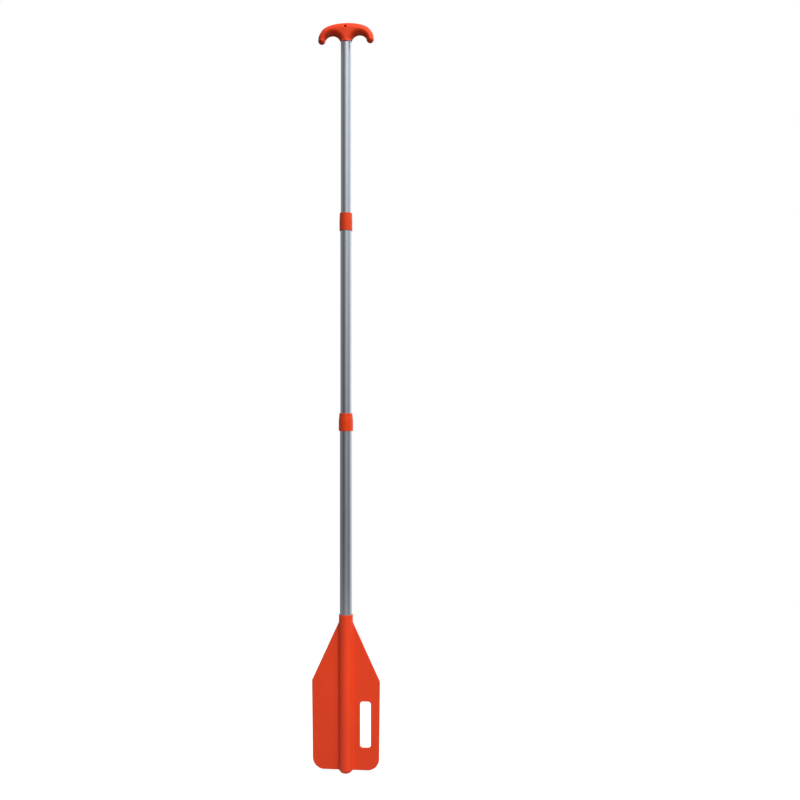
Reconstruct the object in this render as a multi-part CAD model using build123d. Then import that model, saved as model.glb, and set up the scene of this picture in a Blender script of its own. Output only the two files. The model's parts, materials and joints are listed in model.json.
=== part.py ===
from build123d import *

import os
from math import sqrt

# A three-section telescoping paddle whose T-grip doubles as a boat hook, drawn fully extended
# and hanging upright. The origin is the centre of the hanging hole in the grip. +Z runs up the
# shaft, the blade's face looks along -Y, and the hand slot is on the +X side. Millimetres.

# Overall
LENGTH_EXTENDED = 1828.8
HANG_HOLE_DROP = 11.0  # hole centre below the top of the grip
HANG_HOLE_R = 3.0
TOP = HANG_HOLE_DROP  # top of the grip
TIP = HANG_HOLE_DROP - LENGTH_EXTENDED  # lowest point of the blade

# How far each joint closes
UPPER_TRAVEL = 415.9
MIDDLE_TRAVEL = 444.9
LOWER_TRAVEL = 327.0
STACK_GAP = 0.5  # left between collars, and under the grip, when closed
END_GAP = 1.0  # left below each lock when closed

# Tubes, upper to lower; each bore clears the next tube up by TUBE_GAP
TUBE_WALL = 0.8
TUBE_GAP = 0.2
UPPER_R = 12.5
MIDDLE_R = UPPER_R + TUBE_GAP + TUBE_WALL
LOWER_R = MIDDLE_R + TUBE_GAP + TUBE_WALL
PART_FIT = 0.03  # pressed and glued pieces, a side
PLAY = 0.2  # between the rivet's bulb and the curved wall beside it

# T-grip, whose stem ends lower at its front and back than at its sides, between the arms
STEM_REACH = 16.5  # half the width of the arch that ends the stem
STEM_LENGTH = 47.0
STEM_SIDE_LENGTH = 40.8
STEM_END = TOP - STEM_LENGTH
GRIP_SOCKET_TOP = TOP - 17.0
GRIP_HALF_DEPTH = 15.0  # over the stem
TIP_HALF_DEPTH = 11.2
ARM_EDGE_R = 8.0
STEM_EDGE_R = 1.2
HOLE_CHAMFER = 1.5

# Blind rivet through the back of the stem
GRIP_RIVET_Z = TOP - 36.0
RIVET_R = 1.6
RIVET_HEAD_R = 3.25
RIVET_HEAD = 1.1
RIVET_SEAT_R = 3.4
RIVET_SEAT_Y = GRIP_HALF_DEPTH - 0.8
RIVET_BULB_R = 2.3
RIVET_BULB = 2.4
RIVET_EDGE_R = 0.8

# Collars on the mouths of the middle and lower tubes
COLLAR_LENGTH = 43.0
COLLAR_LIP = 8.0  # above the tube's end
COLLAR_SKIRT = 22.0  # straight, before it tapers to the mouth
COLLAR_EDGE_R = 0.5
COLLAR_MOUTH_R = 1.2  # round-over at the mouth
COLLAR_LEAD = 0.4  # chamfer inside the mouth
MIDDLE_COLLAR_LOW = STEM_END - STACK_GAP - UPPER_TRAVEL - COLLAR_LENGTH
LOWER_COLLAR_LOW = MIDDLE_COLLAR_LOW - STACK_GAP - MIDDLE_TRAVEL - COLLAR_LENGTH
MIDDLE_COLLAR_R = (15.75, 15.1)  # at the skirt and at the mouth
LOWER_COLLAR_R = (17.5, 16.0)
COLLAR_CLEARANCE = 0.1  # round the tube that slides through

# Blade, measured up from its tip
MOUTH = TIP + 386.0
SLOPE_TOP = TIP + 368.0
SHOULDER = TIP + 224.0
BLADE_EDGE = TIP + 7.0
SHOULDER_HALF_WIDTH = 83.7
EDGE_HALF_WIDTH = 81.2
SHOULDER_CORNER_R = 8.0
EDGE_CORNER_R = 28.5
PLATE = 4.0
RIB_R = 17.0
RIB_ROOT_R = 5.0
NOSE = TIP + 12.0  # where the rib starts to close
NOSE_FLAT_R = 7.5
MOUTH_CHAMFER = 0.8
SOCKET_R = LOWER_R + TUBE_GAP
SOCKET_FLOOR = TIP + 6.0
DRAIN_R = 2.5
SLOT_X = (34.8, 61.3)
SLOT_Z = (TIP + 62.0, TIP + 174.5)
SLOT_CORNER_R = 7.0
PLATE_EDGE_R = 1.8
SLOT_EDGE_R = 1.5

# Twist lock on the lower end of each tube, from the tube's end down
PLUG_DEPTH = 14.0  # inside the tube
FLANGE = 2.0
GLIDE = 5.0
CAM = 10.0
LOCK_GAP = 0.1  # end play of each ring
GLIDE_JOURNAL_R = 8.0
CAM_JOURNAL_R = 5.5
RING_FIT = 0.05
CAM_RELIEF = 0.5  # round the cam when it is centred
CAM_OFFSET = (CAM_RELIEF - RING_FIT) / sqrt(2)  # of the journal, and of the ring's bore
WASHER_R = 7.5
WASHER = 1.0
SCREW_R = 1.75
SCREW_HEAD_R = 3.5
SCREW_HEAD = 2.3
SCREW_LENGTH = 16.0
SCREW_EDGE_R = 1.1
SCREW_RECESS = (1.1, 3.6, 1.2)  # width, length and depth of the cross
LOCK_LENGTH = FLANGE + GLIDE + CAM + 3 * LOCK_GAP + WASHER + SCREW_HEAD

# Where the tubes end: each lock just clears what is below it when closed
LOWER_END = SOCKET_FLOOR + LOWER_TRAVEL + END_GAP + LOCK_LENGTH
MIDDLE_END = LOWER_END + PLUG_DEPTH + MIDDLE_TRAVEL + END_GAP + LOCK_LENGTH
UPPER_END = MIDDLE_END + PLUG_DEPTH + UPPER_TRAVEL + END_GAP + LOCK_LENGTH


def post(radius, low, high, x=0.0):
    """A round bar on the shaft's axis, or x to one side of it."""
    bar = Cylinder(radius, high - low, align=(Align.CENTER, Align.CENTER, Align.MIN))
    return Pos(x, 0, low) * bar


def pipe(outer, inner, low, high):
    return post(outer, low, high) - post(inner, low - 1, high + 1)


def cross_bar(radius, front, back, z=0.0):
    """A round bar along Y, from front to back."""
    return Pos(0, back, z) * Rot(90, 0, 0) * post(radius, 0, back - front)


def face_on(plane, *edges):
    return plane * make_face(Wire(edges))


# T-grip


def half_outline():
    """The grip's right half seen from the front, in X and distance above its top."""
    crown = [(0, 0), (34.0, -3.5), (48.0, -8.2), (56.0, -13.2), (62.6, -21.5), (68.6, -41.0)]
    tip_out = crown[-1]
    tip_in = (50.6, -41.0)
    web = (15.0, -42.5)
    foot = (14.4, -54.0)
    return [
        Spline(*crown, tangents=[(1, 0), (0.05, -1)]),
        ThreePointArc(tip_out, (59.6, -50.0), tip_in),
        ThreePointArc(tip_in, (33.2, -30.0), web),
        Line(web, foot),
        Line(foot, (0, foot[1])),
        Line((0, foot[1]), (0, 0)),
    ]


def half_depth():
    """The grip's right half seen from above: deepest over the stem, slimmer at the tips."""
    deep, slim = GRIP_HALF_DEPTH, TIP_HALF_DEPTH
    hub, reach = 6.0, 72.0
    side = [(hub, deep), (20.0, 14.3), (45.0, 12.9), (reach, slim)]
    return [
        Line((0, deep), (hub, deep)),
        Spline(*side, tangents=[(1, 0), (1, -0.08)]),
        Line((reach, slim), (reach, -slim)),
        Spline(*[(x, -y) for x, y in reversed(side)], tangents=[(-1, -0.08), (-1, 0)]),
        Line((hub, -deep), (0, -deep)),
        Line((0, -deep), (0, deep)),
    ]


def grip_arm():
    """One hooked arm, up to the grip's middle plane, with its long edges rounded."""
    front = extrude(face_on(Plane.XZ, *half_outline()), 20, both=True)
    plan = Pos(0, 0, -60) * extrude(face_on(Plane.XY, *half_depth()), 70)
    arm = front & plan
    long_edges = [e for e in arm.edges() if e.bounding_box().max.X > 0.1 and not is_cross_edge(e)]
    return fillet(long_edges, ARM_EDGE_R)


def is_cross_edge(edge):
    """True for an edge that runs from the grip's front to its back."""
    box = edge.bounding_box()
    return box.size.Y > 4 * max(box.size.X, box.size.Z)


def below_stem():
    """What is cut off under the stem: it arches over the tube's sides and dips at front and back."""
    side, low = -STEM_SIDE_LENGTH, -STEM_LENGTH - 20
    outline = [
        ThreePointArc((-STEM_REACH, side), (0, -STEM_LENGTH), (STEM_REACH, side)),
        Line((STEM_REACH, side), (STEM_REACH, low)),
        Line((STEM_REACH, low), (-STEM_REACH, low)),
        Line((-STEM_REACH, low), (-STEM_REACH, side)),
    ]
    return extrude(face_on(Plane.XZ, *outline), 30, both=True)


def handle():
    """The grip, rounded with its top at zero and then lifted into place to be bored."""
    arm = grip_arm()
    grip = arm + mirror(arm, Plane.YZ) - below_stem()
    sole = [face for face in grip.faces() if abs(face.center().X) < 1]
    grip = fillet(min(sole, key=lambda face: face.center().Z).outer_wire().edges(), STEM_EDGE_R)
    grip = Pos(0, 0, TOP) * grip
    grip -= post(UPPER_R + PART_FIT, STEM_END - 1, GRIP_SOCKET_TOP)
    grip -= hang_hole()
    grip -= cross_bar(RIVET_R + PART_FIT, 0, 20, GRIP_RIVET_Z)
    return grip - cross_bar(RIVET_SEAT_R, RIVET_SEAT_Y, 20, GRIP_RIVET_Z)


def hang_hole():
    """The hole's bore and the countersinks at its two ends."""
    reach = HOLE_CHAMFER + 1
    sink = Cone(HANG_HOLE_R, HANG_HOLE_R + reach, reach, align=(Align.CENTER, Align.CENTER, Align.MIN))
    front = Rot(90, 0, 0) * Pos(0, 0, GRIP_HALF_DEPTH - HOLE_CHAMFER) * sink
    return cross_bar(HANG_HOLE_R, -25, 25) + front + mirror(front, Plane.XZ)


def handle_rivet():
    """A blind rivet that holds the tube in the grip, its bulb inside the tube."""
    wall = UPPER_R - TUBE_WALL - PLAY  # the tube's inner wall, which the bulb bears on
    head = cross_bar(RIVET_HEAD_R, RIVET_SEAT_Y, RIVET_SEAT_Y + RIVET_HEAD, GRIP_RIVET_Z)
    head = fillet(head.edges().sort_by(Axis.Y)[-1], RIVET_EDGE_R)
    shank = cross_bar(RIVET_R, wall - 1, RIVET_SEAT_Y, GRIP_RIVET_Z)
    return head + shank + cross_bar(RIVET_BULB_R, wall - RIVET_BULB, wall, GRIP_RIVET_Z)


# Tubes and collars


def upper_tube():
    tube = pipe(UPPER_R, UPPER_R - TUBE_WALL, UPPER_END, GRIP_SOCKET_TOP)
    return tube - cross_bar(RIVET_R + PART_FIT, 0, 20, GRIP_RIVET_Z)


def middle_tube():
    top = MIDDLE_COLLAR_LOW + COLLAR_LENGTH - COLLAR_LIP
    return pipe(MIDDLE_R, MIDDLE_R - TUBE_WALL, MIDDLE_END, top)


def lower_tube():
    top = LOWER_COLLAR_LOW + COLLAR_LENGTH - COLLAR_LIP
    return pipe(LOWER_R, LOWER_R - TUBE_WALL, LOWER_END, top)


def quarter(start, end, corner):
    """A quarter round from start to end, inside the corner that they share."""
    lean = sqrt(0.5)
    middle = [c + (a + b - 2 * c) * (1 - lean) for a, b, c in zip(start, end, corner)]
    return ThreePointArc(start, tuple(middle), end)


def collar(low, radii, tube_r, inner_r):
    """A guide collar: a skirt glued over the tube's mouth, and a lip that guides the next tube."""
    skirt_r, mouth_r = radii
    top = low + COLLAR_LENGTH
    seat = top - COLLAR_LIP
    bore = inner_r + COLLAR_CLEARANCE
    fit = tube_r + PART_FIT
    foot, edge = (skirt_r - COLLAR_EDGE_R, low), (skirt_r, low + COLLAR_EDGE_R)
    hip = (skirt_r, low + COLLAR_SKIRT)
    neck, rim = (mouth_r, top - COLLAR_MOUTH_R), (mouth_r - COLLAR_MOUTH_R, top)
    lead, throat = (bore + COLLAR_LEAD, top), (bore, top - COLLAR_LEAD)
    profile = [
        Line((fit, low), foot),
        quarter(foot, edge, (skirt_r, low)),
        Line(edge, hip),
        Spline(hip, neck, tangents=[(0, 1), (0, 1)]),
        quarter(neck, rim, (mouth_r, top)),
        Line(rim, lead),
        Line(lead, throat),
        Line(throat, (bore, seat)),
        Line((bore, seat), (fit, seat)),
        Line((fit, seat), (fit, low)),
    ]
    return revolve(face_on(Plane.XZ, *profile), Axis.Z)


# Twist locks


def cam_plug(tube_r, end):
    """The plug in a tube's end: flange, round journal, then the journal that is off centre."""
    glide_low = end - FLANGE - GLIDE - 2 * LOCK_GAP
    cam_low = glide_low - CAM - LOCK_GAP
    plug = post(tube_r - TUBE_WALL - PART_FIT, end, end + PLUG_DEPTH)
    plug += post(tube_r, end - FLANGE, end)
    plug += post(GLIDE_JOURNAL_R, glide_low, end - FLANGE)
    plug += post(CAM_JOURNAL_R, cam_low, glide_low, CAM_OFFSET)
    return plug - post(SCREW_R + PART_FIT, cam_low - 1, cam_low + SCREW_LENGTH, CAM_OFFSET)


def glide_ring(outer_bore, end):
    low = end - FLANGE - GLIDE - LOCK_GAP
    return pipe(outer_bore - RING_FIT, GLIDE_JOURNAL_R + RING_FIT, low, low + GLIDE)


def cam_ring(outer_bore, end):
    """The cam, turned to its locked side: its bore is off centre by as much as its journal."""
    low = end - FLANGE - GLIDE - 2 * LOCK_GAP - CAM
    ring = Pos(CAM_OFFSET, CAM_OFFSET, 0) * post(outer_bore - CAM_RELIEF, low, low + CAM)
    return ring - post(CAM_JOURNAL_R + RING_FIT, low - 1, low + CAM + 1, CAM_OFFSET)


def washer_top(end):
    return end - FLANGE - GLIDE - 3 * LOCK_GAP - CAM


def cam_washer(end):
    top = washer_top(end)
    hole = post(SCREW_R + PART_FIT, top - WASHER - 1, top + 1, CAM_OFFSET)
    return post(WASHER_R, top - WASHER, top, CAM_OFFSET) - hole


def cam_screw(end):
    seat = washer_top(end) - WASHER
    head = post(SCREW_HEAD_R, seat - SCREW_HEAD, seat, CAM_OFFSET)
    head = fillet(head.edges().sort_by(Axis.Z)[0], SCREW_EDGE_R)
    width, length, depth = SCREW_RECESS
    for size in ((width, length), (length, width)):
        head -= Pos(CAM_OFFSET, 0, seat - SCREW_HEAD) * Box(*size, 2 * depth)
    return head + post(SCREW_R, seat, seat + WASHER + SCREW_LENGTH - 1, CAM_OFFSET)


# Blade


def blade_plan():
    """The blade's outline without its rib, with rounded shoulders and bottom corners."""
    right = [(RIB_R, SLOPE_TOP), (SHOULDER_HALF_WIDTH, SHOULDER), (EDGE_HALF_WIDTH, BLADE_EDGE)]
    left = [(-x, z) for x, z in reversed(right)]
    plan = make_face(Polyline(*right, *left, close=True))
    corners = plan.vertices()
    plan = fillet([v for v in corners if abs(v.Y - SHOULDER) < 1], SHOULDER_CORNER_R)
    return fillet([v for v in plan.vertices() if abs(v.Y - BLADE_EDGE) < 1], EDGE_CORNER_R)


def blade_section():
    """The blade's level section: a flat plate that swells into the round rib."""
    section = Circle(RIB_R) + Rectangle(2 * SHOULDER_HALF_WIDTH + 2, PLATE)
    roots = [v for v in section.vertices() if abs(v.X) < RIB_R + 1]
    return fillet(roots, RIB_ROOT_R)


def rib():
    """The closed round socket, with a blunt rounded nose."""
    rim, chamfer = (RIB_R, MOUTH - MOUTH_CHAMFER), (RIB_R - MOUTH_CHAMFER, MOUTH)
    profile = [
        Line((0, TIP), (NOSE_FLAT_R, TIP)),
        TangentArc((RIB_R, NOSE), (NOSE_FLAT_R, TIP), tangent=(0, -1)),
        Line((RIB_R, NOSE), rim),
        Line(rim, chamfer),
        Line(chamfer, (0, MOUTH)),
        Line((0, MOUTH), (0, TIP)),
    ]
    return revolve(face_on(Plane.XZ, *profile), Axis.Z)


def hand_slot():
    (left, right), (low, high) = SLOT_X, SLOT_Z
    window = RectangleRounded(right - left, high - low, SLOT_CORNER_R)
    middle = Pos((left + right) / 2, (low + high) / 2)
    return extrude(Plane.XZ * middle * window, 10, both=True)


def face_edges(body, wanted):
    """The edges on the plate's two faces whose middles, in X and Z, are wanted."""
    middles = [(edge, edge.center()) for edge in body.edges()]
    return [e for e, c in middles if abs(abs(c.Y) - PLATE / 2) < 0.01 and wanted(c.X, c.Z)]


def in_slot(x, z):
    return SLOT_X[0] - 1 < x < SLOT_X[1] + 1 and SLOT_Z[0] - 1 < z < SLOT_Z[1] + 1


def off_rib(x, z):
    return abs(x) > RIB_R + RIB_ROOT_R + 1


def blade():
    plate = extrude(Plane.XZ * blade_plan(), 30, both=True)
    web = plate & (Pos(0, 0, TIP) * extrude(blade_section(), MOUTH - TIP))
    web = fillet(face_edges(web, off_rib), PLATE_EDGE_R)
    web -= hand_slot()
    web = fillet(face_edges(web, in_slot), SLOT_EDGE_R)
    body = web + rib()
    body -= post(SOCKET_R, SOCKET_FLOOR, MOUTH + 1)
    return body - post(DRAIN_R, TIP - 1, SOCKET_FLOOR + 1)


middle_bore = MIDDLE_R - TUBE_WALL
lower_bore = LOWER_R - TUBE_WALL

nodes = {
    "handle": handle(),
    "handle_rivet": handle_rivet(),
    "upper_tube": upper_tube(),
    "middle_tube": middle_tube(),
    "middle_collar": collar(MIDDLE_COLLAR_LOW, MIDDLE_COLLAR_R, MIDDLE_R, UPPER_R),
    "lower_tube": lower_tube(),
    "lower_collar": collar(LOWER_COLLAR_LOW, LOWER_COLLAR_R, LOWER_R, MIDDLE_R),
    "blade": blade(),
}

for name, tube_r, outer_bore, end in (
    ("upper", UPPER_R, middle_bore, UPPER_END),
    ("middle", MIDDLE_R, lower_bore, MIDDLE_END),
    ("lower", LOWER_R, SOCKET_R, LOWER_END),
):
    nodes[f"{name}_cam_plug"] = cam_plug(tube_r, end)
    nodes[f"{name}_glide_ring"] = glide_ring(outer_bore, end)
    nodes[f"{name}_cam_ring"] = cam_ring(outer_bore, end)
    nodes[f"{name}_cam_washer"] = cam_washer(end)
    nodes[f"{name}_cam_screw"] = cam_screw(end)

os.makedirs("parts", exist_ok=True)
for name, solid in nodes.items():
    export_step(solid, f"parts/{name}.step")
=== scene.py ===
import json
import math

import bmesh
import bpy
import numpy as np
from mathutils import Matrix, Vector

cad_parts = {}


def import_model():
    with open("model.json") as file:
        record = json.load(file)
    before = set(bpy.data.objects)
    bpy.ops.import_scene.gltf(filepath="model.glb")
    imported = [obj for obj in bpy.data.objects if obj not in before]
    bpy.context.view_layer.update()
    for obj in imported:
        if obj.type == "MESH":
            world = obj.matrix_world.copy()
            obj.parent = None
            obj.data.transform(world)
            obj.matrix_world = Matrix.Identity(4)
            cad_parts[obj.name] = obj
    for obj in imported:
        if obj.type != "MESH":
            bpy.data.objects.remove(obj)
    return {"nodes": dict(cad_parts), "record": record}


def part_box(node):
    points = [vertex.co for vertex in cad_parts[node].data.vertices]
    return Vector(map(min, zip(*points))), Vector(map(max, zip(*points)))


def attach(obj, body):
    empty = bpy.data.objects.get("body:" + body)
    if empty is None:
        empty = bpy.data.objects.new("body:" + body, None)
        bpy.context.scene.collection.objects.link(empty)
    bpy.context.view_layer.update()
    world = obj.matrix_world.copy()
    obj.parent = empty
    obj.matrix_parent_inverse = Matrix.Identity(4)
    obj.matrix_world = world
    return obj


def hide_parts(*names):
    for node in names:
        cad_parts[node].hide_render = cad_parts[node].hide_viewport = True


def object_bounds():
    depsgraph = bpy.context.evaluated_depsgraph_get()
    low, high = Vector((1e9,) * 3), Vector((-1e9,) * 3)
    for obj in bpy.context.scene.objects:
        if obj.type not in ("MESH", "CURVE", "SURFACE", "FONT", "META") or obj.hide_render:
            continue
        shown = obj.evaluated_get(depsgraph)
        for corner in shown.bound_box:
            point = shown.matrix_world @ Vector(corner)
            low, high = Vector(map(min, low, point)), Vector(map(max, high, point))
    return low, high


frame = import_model()
cad_low, cad_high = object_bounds()

# Lengths are in metres. An azimuth is in degrees to the right of the paddle's front, and an
# elevation in degrees above the horizon.

# The grip
GRIP_VOXEL = 0.0008
GRIP_ROUND = 0.015  # over this distance from its outline the grip reaches its full depth
GRIP_TIP_DEPTH = 0.0112  # half the grip's thickness at its outer sides
GRIP_SMOOTHING = 4  # rounds
STEM_WALL = 0.0025  # round the tube, at the sides of the stem
STEM_MARGIN = 0.0003  # how far inside the stem's sides the search for its holes ends
TINY_SQUARE = 1e-16  # keeps a segment without length from dividing by zero

# Base colours
ORANGE = (0.745, 0.048, 0.008)
COLLAR_ORANGE = (0.70, 0.045, 0.004)
ALUMINIUM = (0.575, 0.622, 0.69)
BLACK = (0.018, 0.018, 0.02)
NATURAL_ACETAL = (0.76, 0.75, 0.70)
STEEL = (0.52, 0.52, 0.51)
RIVET_METAL = (0.62, 0.63, 0.65)

# What the materials share. A scale is in cycles a metre along X, Y and Z, a span is the two values
# of a noise between which something sets in, and tints are factors of the base colour.
EVEN = (1, 1, 1)
MOST = (0.3, 0.7)  # most of a noise lies in this span

# Moulded plastic
FLOW_SCALE = (9, 9, 3.5)
FLOW_TINTS = (0.93, 1.05)
FLOW_HEIGHT = 0.0006
GRAIN_HEIGHT = 0.00006
RUB_SCALE = (140, 140, 900)
RUB_SPAN = (0.42, 0.66)
RUB_RADIUS = 0.0016  # an outer edge sharper than this is rubbed pale
RUB_PALENESS = 0.12
SATIN_SPAN = (0.3, 0.75)
SATIN_SPREAD = (-0.05, 0.1)  # of the roughness, about the plastic's own
PLASTIC_IOR = 1.49
PLASTIC_SPECULAR = 0.35
BEVEL_SAMPLES = 4
OPEN_FACE, SHARP_EDGE = 0.99, 0.86  # how well a rounded normal agrees with the true one

# Anodised tube
LINE_SCALE = (1500, 1500, 5)
LINE_SPAN = (0.25, 0.75)
LINE_TINTS = (0.96, 1.03)
LINE_HEIGHT = 0.000006
SHEEN_SPAN = (0.2, 0.8)
SHEEN_SPREAD = (-0.04, 0.06)
CLOUD_SCALE = (26, 26, 7)
CLOUD_SPAN = (0.35, 0.65)
CLOUD_TINT = 0.86
CLOUD_STRENGTH = 0.18
SCRATCH_SCALE = (420, 420, 30)
SCRATCH_SPAN = (0.66, 0.74)
SCRATCH_TINT = 1.3
SCRATCH_STRENGTH = 0.35

# Plain metal
TOOTH_SIZE = 2600.0
TOOTH_HEIGHT = 0.000015
TOOTH_SPREAD = (-0.06, 0.08)
STAIN_SIZE = 260.0
STAIN_TINTS = (0.88, 1.08)

# Camera
CAMERA_DISTANCE = 2.3
CAMERA_AZIMUTH = math.radians(5)
CAMERA_DROP = 0.005  # below the paddle's middle
FRAME_WIDTH = 1.9535  # covered at the shaft
SIDE_AIM = 0.132  # the shaft stands this far left of the picture's middle
SENSOR = 36.0  # millimetres

# Floor
FLOOR_RADIUS = 1.2
FLOOR_DROP = 0.0006  # below the blade's lowest edge
FLOOR_STEPS = 96
FLOOR_GLOW = 0.88  # as the camera sees it
FLOOR_SHEEN = 0.3  # as metal and gloss see it
FLOOR_GREYS = ((0.26, 0.26, 0.26, 1), (0.28, 0.28, 0.28, 1))
FLOOR_MOTTLE = 60.0  # cycles a metre
FLOOR_ROUGHNESS = 0.9
WHITE = (1, 1, 1, 1)

# The soft surround, as broad lights: azimuth, elevation, narrowness, strength
SKY_LIGHTS = (
    (45, 46, 6, 2.26),
    (132, 12, 4, 1.4),
    (-100, 18, 3, 0.42),
    (0, 50, 4, 0.34),
    (10, 8, 8, 0.29),
)

# The places of a colour Mix node's sockets
MIX_AMOUNT, MIX_A, MIX_B, MIX_RESULT = 0, 6, 7, 2


# Node helpers


def material(name):
    """An empty node material, its tree and its Principled shader."""
    made = bpy.data.materials.new(name)
    made.use_nodes = True
    tree = made.node_tree
    tree.nodes.clear()
    shader = tree.nodes.new("ShaderNodeBsdfPrincipled")
    output = tree.nodes.new("ShaderNodeOutputMaterial")
    tree.links.new(shader.outputs["BSDF"], output.inputs["Surface"])
    return made, tree, shader


def feed(tree, socket, value):
    """Links an output to an input, or sets the input to a constant."""
    if isinstance(value, bpy.types.NodeSocket):
        tree.links.new(value, socket)
    else:
        socket.default_value = value


def add(tree, kind, settings=None, **inputs):
    """A node with its settings and inputs; an underscore in a name stands for a space."""
    node = tree.nodes.new(kind)
    for key, value in (settings or {}).items():
        setattr(node, key, value)
    for key, value in inputs.items():
        feed(tree, node.inputs[key.replace("_", " ")], value)
    return node


def noise(tree, scale, size=1.0, detail=2.0, roughness=0.5):
    """Noise in the paddle's own frame, from 0 to 1."""
    place = add(tree, "ShaderNodeTexCoord").outputs["Object"]
    stretched = add(tree, "ShaderNodeMapping", Vector=place, Scale=scale).outputs["Vector"]
    return add(tree, "ShaderNodeTexNoise", Vector=stretched, Scale=size, Detail=detail,
               Roughness=roughness).outputs["Fac"]


def ramp(tree, value, low, high, to_low=0.0, to_high=1.0):
    """Maps low to to_low and high to to_high, and clamps what lies outside."""
    return add(tree, "ShaderNodeMapRange", Value=value, From_Min=low, From_Max=high,
               To_Min=to_low, To_Max=to_high).outputs["Result"]


def mix(tree, amount, a, b):
    """Colour a where amount is 0, b where it is 1."""
    node = add(tree, "ShaderNodeMix", {"data_type": "RGBA"})
    feed(tree, node.inputs[MIX_AMOUNT], amount)
    feed(tree, node.inputs[MIX_A], a)
    feed(tree, node.inputs[MIX_B], b)
    return node.outputs[MIX_RESULT]


def calculate(tree, operation, a, b):
    """One step of arithmetic on two values."""
    node = add(tree, "ShaderNodeMath", {"operation": operation})
    feed(tree, node.inputs[0], a)
    feed(tree, node.inputs[1], b)
    return node.outputs[0]


def dot(tree, a, b):
    """The dot product of two vectors."""
    node = add(tree, "ShaderNodeVectorMath", {"operation": "DOT_PRODUCT"})
    feed(tree, node.inputs[0], a)
    feed(tree, node.inputs[1], b)
    return node.outputs["Value"]


def bump(tree, height, distance, under=None):
    """A normal for a relief of that height, on top of another relief's normal if there is one."""
    node = add(tree, "ShaderNodeBump", Height=height, Distance=distance, Strength=1.0)
    if under is not None:
        feed(tree, node.inputs["Normal"], under)
    return node.outputs["Normal"]


def tint(colour, factor):
    """A colour made darker or lighter, with its alpha."""
    return tuple(min(1.0, c * factor) for c in colour) + (1.0,)


def tones(tree, value, span, colour, factors):
    """A colour that goes from one tint to another over a span of a noise."""
    dark, light = (tint(colour, factor) for factor in factors)
    return mix(tree, ramp(tree, value, *span), dark, light)


def spread(tree, value, span, middle, sides):
    """A value that goes from below its middle to above it over a span of a noise."""
    return ramp(tree, value, *span, *(middle + side for side in sides))


# Materials


def edge_mask(tree, radius):
    """1 on sharp outer edges, 0 on open faces, from how a rounded normal leaves the true one."""
    samples = {"samples": BEVEL_SAMPLES}
    rounded = add(tree, "ShaderNodeBevel", samples, Radius=radius).outputs["Normal"]
    true = add(tree, "ShaderNodeNewGeometry").outputs["Normal"]
    return ramp(tree, dot(tree, rounded, true), OPEN_FACE, SHARP_EDGE)


def moulded_plastic(name, colour, grain=1300.0, gloss=0.42, wear=0.25):
    """Satin injection-moulded plastic: fine spark grain, faint flow marks and rubbed edges."""
    made, tree, shader = material(name)
    flow = noise(tree, FLOW_SCALE, detail=4.0)
    speck = noise(tree, EVEN, size=grain)
    rub = noise(tree, RUB_SCALE, detail=3.0)
    base = tones(tree, flow, MOST, colour, FLOW_TINTS)
    edge = edge_mask(tree, RUB_RADIUS)
    rubbed = calculate(tree, "MULTIPLY", edge, ramp(tree, rub, *RUB_SPAN))
    pale = tuple(c + (1 - c) * RUB_PALENESS for c in colour) + (1.0,)
    worn = mix(tree, calculate(tree, "MULTIPLY", rubbed, wear), base, pale)
    feed(tree, shader.inputs["Base Color"], worn)
    rough = spread(tree, rub, SATIN_SPAN, gloss, SATIN_SPREAD)
    feed(tree, shader.inputs["Roughness"], rough)
    feed(tree, shader.inputs["IOR"], PLASTIC_IOR)
    feed(tree, shader.inputs["Specular IOR Level"], PLASTIC_SPECULAR)
    fine = bump(tree, speck, GRAIN_HEIGHT)
    feed(tree, shader.inputs["Normal"], bump(tree, flow, FLOW_HEIGHT, under=fine))
    return made


def anodised_tube(name, colour, roughness=0.34):
    """Drawn tube with a satin clear anodise: long fine draw lines and a few faint scuffs."""
    made, tree, shader = material(name)
    lines = noise(tree, LINE_SCALE, detail=3.0, roughness=0.6)
    cloud = noise(tree, CLOUD_SCALE, detail=4.0)
    scratch = noise(tree, SCRATCH_SCALE, detail=5.0, roughness=0.7)
    base = tones(tree, lines, LINE_SPAN, colour, LINE_TINTS)
    clouded = ramp(tree, cloud, *CLOUD_SPAN, 0.0, CLOUD_STRENGTH)
    toned = mix(tree, clouded, base, tint(colour, CLOUD_TINT))
    scratched = calculate(tree, "MULTIPLY", ramp(tree, scratch, *SCRATCH_SPAN), SCRATCH_STRENGTH)
    finished = mix(tree, scratched, toned, tint(colour, SCRATCH_TINT))
    feed(tree, shader.inputs["Base Color"], finished)
    feed(tree, shader.inputs["Metallic"], 1.0)
    rough = spread(tree, lines, SHEEN_SPAN, roughness, SHEEN_SPREAD)
    feed(tree, shader.inputs["Roughness"], rough)
    feed(tree, shader.inputs["Normal"], bump(tree, lines, LINE_HEIGHT))
    return made


def plain_metal(name, colour, roughness):
    """Turned or rolled steel and aluminium on small parts, with a fine directionless tooth."""
    made, tree, shader = material(name)
    tooth = noise(tree, EVEN, size=TOOTH_SIZE, detail=3.0)
    stain = noise(tree, EVEN, size=STAIN_SIZE, detail=3.0)
    stained = tones(tree, stain, MOST, colour, STAIN_TINTS)
    feed(tree, shader.inputs["Base Color"], stained)
    feed(tree, shader.inputs["Metallic"], 1.0)
    rough = spread(tree, tooth, MOST, roughness, TOOTH_SPREAD)
    feed(tree, shader.inputs["Roughness"], rough)
    feed(tree, shader.inputs["Normal"], bump(tree, tooth, TOOTH_HEIGHT))
    return made


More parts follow.
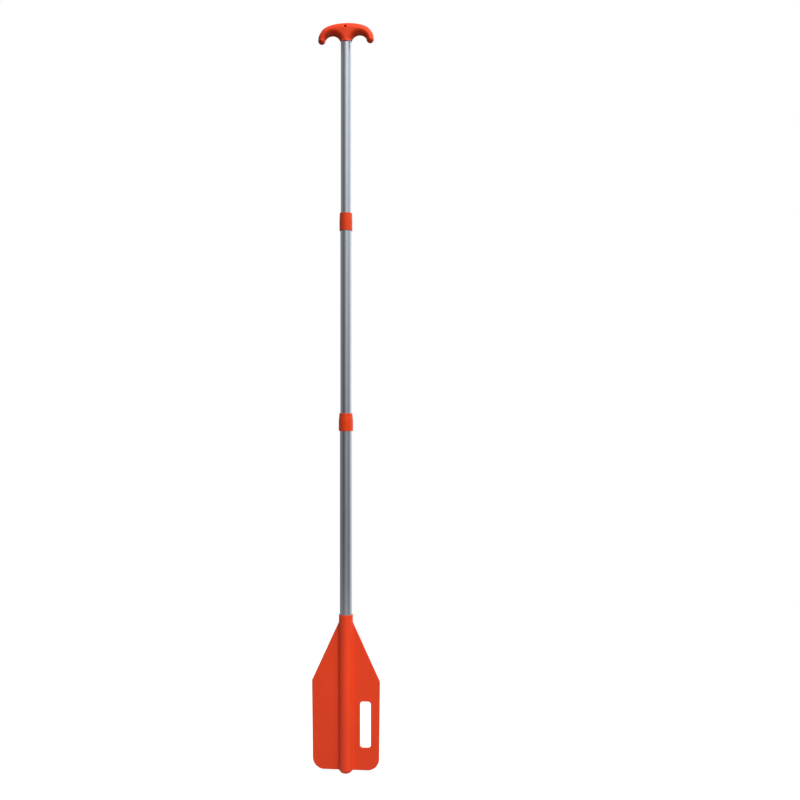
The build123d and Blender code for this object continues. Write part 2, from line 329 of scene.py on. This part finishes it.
orange = moulded_plastic("orange_polypropylene", ORANGE)
finishes = {
    "orange_plastic": orange,
    "collar_plastic": moulded_plastic("orange_nylon", COLLAR_ORANGE, grain=1700.0, gloss=0.36),
    "black_nylon": moulded_plastic("black_glass_nylon", BLACK, grain=900.0, gloss=0.5, wear=0.1),
    "white_acetal": moulded_plastic("natural_acetal", NATURAL_ACETAL, grain=2400.0, gloss=0.3,
                                    wear=0.1),
    "stainless_steel": plain_metal("stainless_steel", STEEL, 0.3),
    "rivet_aluminium": plain_metal("rivet_aluminium", RIVET_METAL, 0.34),
    "anodised_aluminium": anodised_tube("anodised_aluminium", ALUMINIUM),
}
for part in frame["record"]["subparts"]:
    finish = finishes[part["material_slot"]]
    node_materials = frame["nodes"][part["node"]].data.materials
    node_materials.clear()
    node_materials.append(finish)


# Grip


def middle_outline(mesh, inside):
    """The segments, as ends in X and Z, where Y = 0 cuts a mesh, without those that are inside."""
    cut = bmesh.new()
    cut.from_mesh(mesh)
    parts = cut.verts[:] + cut.edges[:] + cut.faces[:]
    found = bmesh.ops.bisect_plane(cut, geom=parts, plane_co=(0, 0, 0), plane_no=(0, 1, 0))
    edges = [e for e in found["geom_cut"] if isinstance(e, bmesh.types.BMEdge)]
    ends = [[(v.co.x, v.co.z) for v in e.verts] for e in edges]
    cut.free()
    return np.array([pair for pair in ends if not any(inside(x, z) for x, z in pair)])


def distance_to(segments, points):
    """Each point's distance to the nearest segment, in the plane."""
    starts, spans = segments[:, 0], segments[:, 1] - segments[:, 0]
    squares = np.maximum((spans ** 2).sum(1), TINY_SQUARE)
    nearest = np.full(len(points), np.inf)
    for start, span, square in zip(starts, spans, squares):
        along = np.clip(((points - start) @ span) / square, 0, 1)
        gap = np.linalg.norm(points - start - along[:, None] * span, axis=1)
        nearest = np.minimum(nearest, gap)
    return nearest


def voxel_copy(name, mesh):
    """A new object with the mesh made again of small even faces."""
    obj = bpy.data.objects.new(name, mesh.copy())
    bpy.context.scene.collection.objects.link(obj)
    remesh = obj.modifiers.new("remesh", "REMESH")
    remesh.mode = "VOXEL"
    remesh.voxel_size = GRIP_VOXEL
    ready = obj.evaluated_get(bpy.context.evaluated_depsgraph_get())
    even = bpy.data.meshes.new_from_object(ready)
    obj.modifiers.clear()
    obj.data = even
    return obj


def make_round(mesh, outline, half):
    """Holds the mesh within an oval section that grows from nothing at the outline."""
    count = len(mesh.vertices)
    co = np.empty(count * 3)
    mesh.vertices.foreach_get("co", co)
    co = co.reshape(count, 3)
    reach = np.clip(distance_to(outline, co[:, [0, 2]]) / GRIP_ROUND, 0, 1)
    share = np.clip(np.abs(co[:, 0]) / half.x, 0, 1)
    depth = half.y + (GRIP_TIP_DEPTH - half.y) * share
    limit = depth * np.sqrt(1 - (1 - reach) ** 2)
    co[:, 1] = np.sign(co[:, 1]) * np.minimum(np.abs(co[:, 1]), limit)
    mesh.vertices.foreach_set("co", co.ravel())


def soften(mesh):
    """Smooths away the steps that the voxels leave."""
    soft = bmesh.new()
    soft.from_mesh(mesh)
    for _ in range(GRIP_SMOOTHING):
        bmesh.ops.smooth_vert(soft, verts=soft.verts, factor=0.5,
                              use_axis_x=True, use_axis_y=True, use_axis_z=True)
    soft.to_mesh(mesh)
    soft.free()
    mesh.shade_smooth()


def rounded_grip(node, tube_high):
    """The grip with the full round section of a moulded handle, inside the CAD grip's outline."""
    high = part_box("handle")[1]
    bore_reach = tube_high.x + STEM_WALL - STEM_MARGIN

    def in_a_hole(x, z):
        return abs(x) < bore_reach and z < high.z / 2

    outline = middle_outline(node.data, in_a_hole)
    obj = voxel_copy("grip", node.data)
    make_round(obj.data, outline, high)
    soften(obj.data)
    obj.data.materials.clear()
    obj.data.materials.append(orange)
    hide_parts("handle")
    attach(obj, "upper_section")


rounded_grip(frame["nodes"]["handle"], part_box("upper_tube")[1])


# Studio


def heading(azimuth, elevation):
    """The direction at an azimuth and an elevation."""
    a, e = math.radians(azimuth), math.radians(elevation)
    return Vector((math.sin(a) * math.cos(e), -math.cos(a) * math.cos(e), math.sin(e)))


def world():
    """White to the camera, and soft broad lights to everything else."""
    made = bpy.data.worlds.new("studio")
    made.use_nodes = True
    tree = made.node_tree
    tree.nodes.clear()
    direction = add(tree, "ShaderNodeTexCoord").outputs["Generated"]
    sky = 0.0
    for azimuth, elevation, narrowness, strength in SKY_LIGHTS:
        facing = dot(tree, direction, heading(azimuth, elevation))
        near = calculate(tree, "MAXIMUM", facing, 0.0)
        narrowed = calculate(tree, "POWER", near, narrowness)
        light = calculate(tree, "MULTIPLY", narrowed, strength)
        sky = calculate(tree, "ADD", light, sky)
    lights = add(tree, "ShaderNodeBackground", Color=WHITE, Strength=sky)
    backdrop = add(tree, "ShaderNodeBackground", Color=WHITE, Strength=1.0)
    seen = add(tree, "ShaderNodeLightPath").outputs["Is Camera Ray"]
    chosen = tree.nodes.new("ShaderNodeMixShader")
    feed(tree, chosen.inputs[0], seen)
    feed(tree, chosen.inputs[1], lights.outputs[0])
    feed(tree, chosen.inputs[2], backdrop.outputs[0])
    output = tree.nodes.new("ShaderNodeOutputWorld")
    tree.links.new(chosen.outputs[0], output.inputs["Surface"])
    bpy.context.scene.world = made


def soft_box(name, target, azimuth, elevation, distance, width, height, power):
    """An area light that looks at target.

    Metal and gloss mirror the surround alone, as behind a polariser, so no lamp shows in them.
    """
    back = heading(azimuth, elevation)
    data = bpy.data.lights.new(name, "AREA")
    data.shape = "RECTANGLE"
    data.size, data.size_y = width, height
    data.energy = power
    lamp = bpy.data.objects.new(name, data)
    lamp.location = target + back * distance
    lamp.rotation_euler = (-back).to_track_quat("-Z", "Y").to_euler()
    lamp.visible_glossy = False
    bpy.context.scene.collection.objects.link(lamp)


def floor(low):
    """A pale round floor just under the blade."""
    turns = [2 * math.pi * i / FLOOR_STEPS for i in range(FLOOR_STEPS)]
    height = low.z - FLOOR_DROP
    rim = [(FLOOR_RADIUS * math.cos(t), FLOOR_RADIUS * math.sin(t), height) for t in turns]
    mesh = bpy.data.meshes.new("floor")
    mesh.from_pydata(rim, [], [list(range(FLOOR_STEPS))])
    obj = bpy.data.objects.new("floor", mesh)
    bpy.context.scene.collection.objects.link(obj)
    made, tree, shader = material("pale_floor")
    mottle = noise(tree, EVEN, size=FLOOR_MOTTLE)
    feed(tree, shader.inputs["Base Color"], mix(tree, mottle, *FLOOR_GREYS))
    feed(tree, shader.inputs["Roughness"], FLOOR_ROUGHNESS)
    feed(tree, shader.inputs["Emission Color"], WHITE)
    path = add(tree, "ShaderNodeLightPath").outputs
    seen = calculate(tree, "MULTIPLY", path["Is Camera Ray"], FLOOR_GLOW)
    mirrored = calculate(tree, "MULTIPLY", path["Is Glossy Ray"], FLOOR_SHEEN)
    feed(tree, shader.inputs["Emission Strength"], calculate(tree, "ADD", seen, mirrored))
    mesh.materials.append(made)


def camera(low, high):
    """Level with the paddle's middle, and a little to the right of its front."""
    ahead = Vector((-math.sin(CAMERA_AZIMUTH), math.cos(CAMERA_AZIMUTH), 0))
    right = Vector((math.cos(CAMERA_AZIMUTH), math.sin(CAMERA_AZIMUTH), 0))
    middle = Vector((0, 0, (low.z + high.z) / 2 - CAMERA_DROP))
    data = bpy.data.cameras.new("camera")
    data.sensor_width = SENSOR
    data.lens = SENSOR * CAMERA_DISTANCE / FRAME_WIDTH
    obj = bpy.data.objects.new("camera", data)
    obj.location = middle - ahead * CAMERA_DISTANCE + right * SIDE_AIM
    obj.rotation_euler = ahead.to_track_quat("-Z", "Y").to_euler()
    bpy.context.scene.collection.objects.link(obj)
    bpy.context.scene.camera = obj


blade_low, blade_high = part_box("blade")
world()
soft_box("key", (cad_low + cad_high) / 2,
         azimuth=50, elevation=64, distance=2.6, width=0.7, height=1.0, power=46)
soft_box("blade_fill", (blade_low + blade_high) / 2,
         azimuth=24, elevation=10, distance=1.0, width=0.4, height=0.5, power=2.9)
floor(cad_low)
camera(cad_low, cad_high)
bpy.context.scene.view_settings.view_transform = "Standard"
